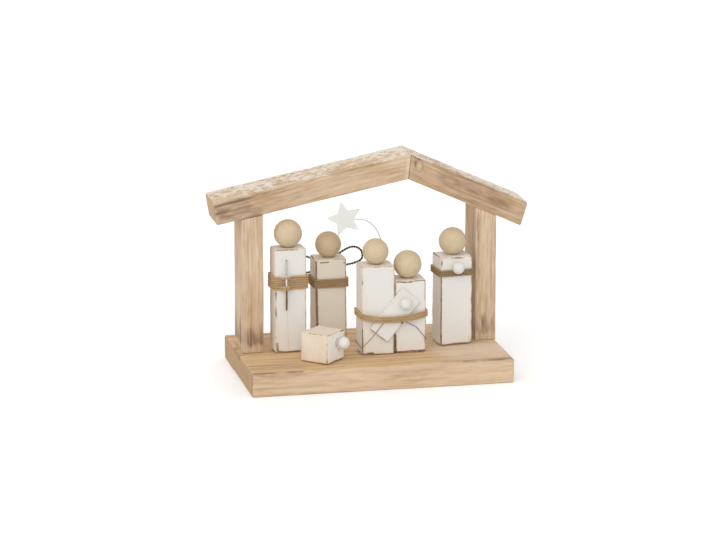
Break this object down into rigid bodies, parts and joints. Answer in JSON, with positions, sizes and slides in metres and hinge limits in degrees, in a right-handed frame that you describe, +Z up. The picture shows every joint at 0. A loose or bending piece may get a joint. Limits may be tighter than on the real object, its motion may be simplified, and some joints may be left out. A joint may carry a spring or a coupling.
{
  "type": "wooden nativity stable",
  "caption": "Small open-front wooden stable with a lopsided pitched roof on a thick base board, and loose painted block figures with ball heads standing inside.",
  "frame": {"origin": "centre of the base board's flat underside", "axes": "+X along the base and the roof, to the right seen from the front; +Y to the back; +Z up"},
  "size_m": [0.3531, 0.169, 0.2413],
  "materials": {
    "stable_wood": "brushed softwood, unsealed, with darker burnt streaks",
    "dowel_wood": "plain beech dowel",
    "screw_steel": "plain zinc-plated countersunk screw",
    "white_paint": "chalky white paint over wood, worn to brown at the edges",
    "beige_paint": "chalky beige paint over wood, worn to brown at the edges",
    "cream_paint": "chalky cream paint over wood, worn at the edges",
    "turned_beech": "fine turned beech, unsealed",
    "jute_twine": "twisted jute twine",
    "fine_thread": "thin brown thread",
    "staff_wood": "pale twig, dark at the foot",
    "wing_wire": "dark brown twisted craft wire",
    "star_paint": "smooth pale grey-white paint",
    "bright_wire": "bare bright wire"
  },
  "bodies": {
    "stable": {"base_board": "stable_wood", "left_post": "stable_wood", "right_post": "stable_wood", "left_rafter": "stable_wood", "right_rafter": "stable_wood", "post_screws": "screw_steel", "eave_dowels": "dowel_wood", "ridge_dowels": "dowel_wood"},
    "shepherd": {"shepherd_block": "white_paint", "shepherd_head": "turned_beech", "shepherd_neck_dowel": "dowel_wood", "shepherd_belt": "jute_twine", "shepherd_staff": "staff_wood"},
    "angel": {"angel_block": "beige_paint", "angel_head": "turned_beech", "angel_neck_dowel": "dowel_wood", "angel_belt": "jute_twine", "angel_left_wing": "wing_wire", "angel_right_wing": "wing_wire"},
    "family": {"tall_parent_block": "white_paint", "tall_parent_head": "turned_beech", "tall_parent_neck_dowel": "dowel_wood", "short_parent_block": "white_paint", "short_parent_head": "turned_beech", "short_parent_neck_dowel": "dowel_wood", "family_twine": "jute_twine", "family_thread": "fine_thread", "infant_board": "white_paint", "infant_head": "white_paint", "star_wire": "bright_wire", "star": "star_paint"},
    "king": {"king_block": "white_paint", "king_head": "turned_beech", "king_neck_dowel": "dowel_wood", "king_belt": "jute_twine", "king_gift": "white_paint"},
    "lamb": {"lamb_block": "cream_paint", "lamb_snout": "white_paint"}
  },
  "joints": [
    {"name": "shepherd_draw", "type": "slide", "parent": "stable", "child": "shepherd", "axis": [0, 0.9945, 0.1045], "range_m": [0, 0.1]},
    {"name": "angel_draw", "type": "slide", "parent": "stable", "child": "angel", "axis": [0, 0.9945, 0.1045], "range_m": [0, 0.09]},
    {"name": "family_draw", "type": "slide", "parent": "stable", "child": "family", "axis": [0, -0.9945, 0.1045], "range_m": [0, 0.085]},
    {"name": "king_draw", "type": "slide", "parent": "stable", "child": "king", "axis": [0, -0.9945, 0.1045], "range_m": [0, 0.11]},
    {"name": "lamb_draw", "type": "slide", "parent": "stable", "child": "lamb", "axis": [0, -0.9945, 0.1045], "range_m": [0, 0.07]}
  ]
}
